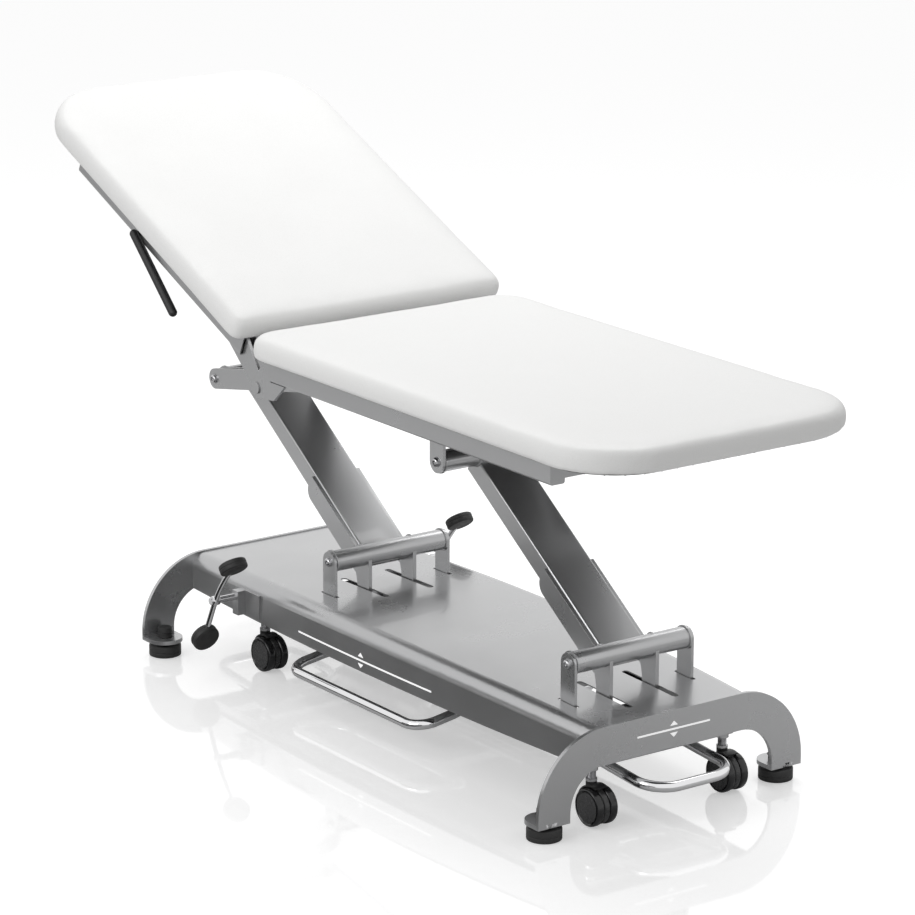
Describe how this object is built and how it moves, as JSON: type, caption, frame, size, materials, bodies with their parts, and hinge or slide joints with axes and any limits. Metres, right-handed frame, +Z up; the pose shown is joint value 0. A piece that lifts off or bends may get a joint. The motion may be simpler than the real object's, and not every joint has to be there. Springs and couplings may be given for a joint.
{
  "type": "examination table",
  "caption": "Height-adjustable examination table: flat seat section, hinged backrest, parallel-arm lift, base with levelling feet, lowering castors and foot bars.",
  "frame": {"origin": "on the floor, under the middle of the table's overall box", "axes": "+X along the table towards the foot end, +Y across it, +Z up"},
  "size_m": [1.9245, 0.65, 1.1173],
  "materials": {
    "paint": "silver-grey powder coat, slightly glossy",
    "black_paint": "black gloss paint",
    "chrome": "polished chrome plate",
    "cushion": "smooth white imitation leather over foam",
    "black_plastic": "black moulded plastic",
    "black_rubber": "black rubber"
  },
  "bodies": {
    "base": {"end_plate_head": "paint", "end_plate_foot": "paint", "base_cover": "paint", "base_frame": "paint", "pivot_brackets": "paint", "lower_pivot_bolts": "chrome", "control_box": "black_plastic", "pedal_brackets": "chrome", "hoop_hangers": "paint", "actuator_housing": "black_plastic"},
    "head_arm": {"head_cross_tube": "paint", "head_arm_beam": "paint", "head_arm_cheeks": "paint", "head_lever_plates": "paint", "head_top_tube": "paint"},
    "foot_arm": {"foot_cross_tube": "paint", "foot_arm_beam": "paint", "foot_arm_cheeks": "paint", "foot_lever_plates": "paint", "foot_top_tube": "paint"},
    "upper_frame": {"seat_rails": "paint", "seat_rail_caps": "black_plastic", "seat_subframe": "paint", "top_pivot_plates": "paint", "top_pivot_bolts": "chrome", "hinge_gussets": "paint", "seat_pad": "cushion", "gas_spring_cylinder": "black_paint"},
    "lift_link": {"lift_link": "paint"},
    "actuator_rod": {"actuator_rod": "chrome"},
    "gas_spring_rod": {"gas_spring_rod": "chrome"},
    "backrest": {"backrest_frame": "paint", "backrest_hinge": "paint", "backrest_rail_caps": "black_plastic", "backrest_pad": "cushion"},
    "release_lever": {"release_lever": "black_plastic"},
    "pedal": {"pedal_shaft": "chrome", "pedal_lever_near": "chrome", "pedal_lever_far": "chrome", "pedal_treads": "black_rubber"},
    "castor_carriage_head": {"castor_carriage_head": "paint"},
    "castor_head_near": {"castor_fork_head_near": "black_plastic"},
    "castor_head_near_wheels": {"castor_wheels_head_near": "black_rubber"},
    "castor_head_far": {"castor_fork_head_far": "black_plastic"},
    "castor_head_far_wheels": {"castor_wheels_head_far": "black_rubber"},
    "castor_carriage_foot": {"castor_carriage_foot": "paint"},
    "castor_foot_near": {"castor_fork_foot_near": "black_plastic"},
    "castor_foot_near_wheels": {"castor_wheels_foot_near": "black_rubber"},
    "castor_foot_far": {"castor_fork_foot_far": "black_plastic"},
    "castor_foot_far_wheels": {"castor_wheels_foot_far": "black_rubber"},
    "levelling_foot_head_near": {"levelling_foot_head_near": "black_plastic"},
    "levelling_foot_head_far": {"levelling_foot_head_far": "black_plastic"},
    "levelling_foot_foot_near": {"levelling_foot_foot_near": "black_plastic"},
    "levelling_foot_foot_far": {"levelling_foot_foot_far": "black_plastic"},
    "foot_bar_near": {"foot_bar_near": "chrome"},
    "foot_bar_far": {"foot_bar_far": "chrome"},
    "foot_bar_foot": {"foot_bar_foot": "chrome"},
    "foot_bar_head": {"foot_bar_head": "chrome"}
  },
  "joints": [
    {"name": "lift", "type": "hinge", "parent": "base", "child": "head_arm", "pos_m": [-0.13252, 0, 0.276], "axis": [0, 1, 0], "range_deg": [-29, 31.5]},
    {"name": "foot_arm_pivot", "type": "hinge", "parent": "base", "child": "foot_arm", "pos_m": [0.64548, 0, 0.276], "axis": [0, 1, 0], "range_deg": [-29, 31.5]},
    {"name": "upper_frame_pivot", "type": "hinge", "parent": "head_arm", "child": "upper_frame", "pos_m": [-0.54538, 0, 0.56508], "axis": [0, 1, 0], "range_deg": [-31.5, 29]},
    {"name": "link_pivot", "type": "hinge", "parent": "head_arm", "child": "lift_link", "pos_m": [-0.13252, 0, 0.166], "axis": [0, 1, 0], "range_deg": [-31.5, 29]},
    {"name": "actuator_stroke", "type": "slide", "parent": "base", "child": "actuator_rod", "axis": [-1, 0, 0], "range_m": [-0.0545, 0.059]},
    {"name": "backrest_hinge", "type": "hinge", "parent": "upper_frame", "child": "backrest", "pos_m": [-0.15752, 0, 0.65], "axis": [0, 1, 0], "range_deg": [-23.85, 10]},
    {"name": "gas_spring_stroke", "type": "slide", "parent": "upper_frame", "child": "gas_spring_rod", "axis": [-1, 0, 0], "range_m": [-0.0303, 0.0128]},
    {"name": "release_lever_pivot", "type": "hinge", "parent": "backrest", "child": "release_lever", "pos_m": [-0.58706, -0.3, 0.88035], "axis": [0, -1, 0], "range_deg": [0, 15], "stiffness_Nm_per_rad": 0.8, "springref_deg": -20.05},
    {"name": "castor_pedal", "type": "hinge", "parent": "base", "child": "pedal", "pos_m": [-0.33952, 0, 0.168], "axis": [0, 1, 0], "range_deg": [0, 40]},
    {"name": "castor_drop_head", "type": "slide", "parent": "base", "child": "castor_carriage_head", "axis": [0, 0, -1], "range_m": [0, 0.008]},
    {"name": "castor_head_near_swivel", "type": "hinge", "parent": "castor_carriage_head", "child": "castor_head_near", "pos_m": [-0.34552, -0.154, 0.095], "axis": [0, 0, 1], "continuous": true},
    {"name": "castor_head_near_roll", "type": "hinge", "parent": "castor_head_near", "child": "castor_head_near_wheels", "pos_m": [-0.32952, -0.154, 0.037], "axis": [0, 1, 0], "continuous": true},
    {"name": "castor_head_far_swivel", "type": "hinge", "parent": "castor_carriage_head", "child": "castor_head_far", "pos_m": [-0.34552, 0.154, 0.095], "axis": [0, 0, 1], "continuous": true},
    {"name": "castor_head_far_roll", "type": "hinge", "parent": "castor_head_far", "child": "castor_head_far_wheels", "pos_m": [-0.32952, 0.154, 0.037], "axis": [0, 1, 0], "continuous": true},
    {"name": "castor_drop_foot", "type": "slide", "parent": "base", "child": "castor_carriage_foot", "axis": [0, 0, -1], "range_m": [0, 0.008]},
    {"name": "castor_foot_near_swivel", "type": "hinge", "parent": "castor_carriage_foot", "child": "castor_foot_near", "pos_m": [0.73748, -0.154, 0.095], "axis": [0, 0, 1], "continuous": true},
    {"name": "castor_foot_near_roll", "type": "hinge", "parent": "castor_foot_near", "child": "castor_foot_near_wheels", "pos_m": [0.75348, -0.154, 0.037], "axis": [0, 1, 0], "continuous": true},
    {"name": "castor_foot_far_swivel", "type": "hinge", "parent": "castor_carriage_foot", "child": "castor_foot_far", "pos_m": [0.73748, 0.154, 0.095], "axis": [0, 0, 1], "continuous": true},
    {"name": "castor_foot_far_roll", "type": "hinge", "parent": "castor_foot_far", "child": "castor_foot_far_wheels", "pos_m": [0.75348, 0.154, 0.037], "axis": [0, 1, 0], "continuous": true},
    {"name": "levelling_foot_head_near_turn", "type": "hinge", "parent": "base", "child": "levelling_foot_head_near", "pos_m": [-0.54052, -0.273, 0.03], "axis": [0, 0, 1], "continuous": true},
    {"name": "levelling_foot_head_far_turn", "type": "hinge", "parent": "base", "child": "levelling_foot_head_far", "pos_m": [-0.54052, 0.273, 0.03], "axis": [0, 0, 1], "continuous": true},
    {"name": "levelling_foot_foot_near_turn", "type": "hinge", "parent": "base", "child": "levelling_foot_foot_near", "pos_m": [0.75348, -0.273, 0.03], "axis": [0, 0, 1], "continuous": true},
    {"name": "levelling_foot_foot_far_turn", "type": "hinge", "parent": "base", "child": "levelling_foot_foot_far", "pos_m": [0.75348, 0.273, 0.03], "axis": [0, 0, 1], "continuous": true},
    {"name": "foot_bar_near_press", "type": "hinge", "parent": "base", "child": "foot_bar_near", "pos_m": [0.05898, -0.095, 0.082], "axis": [1, 0, 0], "range_deg": [-2, 4], "stiffness_Nm_per_rad": 160, "springref_deg": -31.51},
    {"name": "foot_bar_far_press", "type": "hinge", "parent": "base", "child": "foot_bar_far", "pos_m": [0.05898, 0.095, 0.082], "axis": [-1, 0, 0], "range_deg": [-2, 4], "stiffness_Nm_per_rad": 160, "springref_deg": -31.51},
    {"name": "foot_bar_foot_press", "type": "hinge", "parent": "base", "child": "foot_bar_foot", "pos_m": [0.64648, 0, 0.097], "axis": [0, 1, 0], "range_deg": [-2, 4], "stiffness_Nm_per_rad": 160, "springref_deg": -18.33},
    {"name": "foot_bar_head_press", "type": "hinge", "parent": "base", "child": "foot_bar_head", "pos_m": [-0.43352, 0, 0.097], "axis": [0, -1, 0], "range_deg": [-2, 4], "stiffness_Nm_per_rad": 160, "springref_deg": -18.33}
  ],
  "couplings": [
    {"joint": "foot_arm_pivot", "follows": "lift", "ratio": 1},
    {"joint": "upper_frame_pivot", "follows": "lift", "ratio": -1},
    {"joint": "link_pivot", "follows": "lift", "ratio": -1},
    {"joint": "actuator_stroke", "follows": "lift", "m_per_rad": 0.105},
    {"joint": "gas_spring_stroke", "follows": "backrest_hinge", "m_per_rad": 0.0725},
    {"joint": "castor_drop_head", "follows": "castor_pedal", "m_per_rad": 0.01146},
    {"joint": "castor_drop_foot", "follows": "castor_pedal", "m_per_rad": 0.01146}
  ]
}
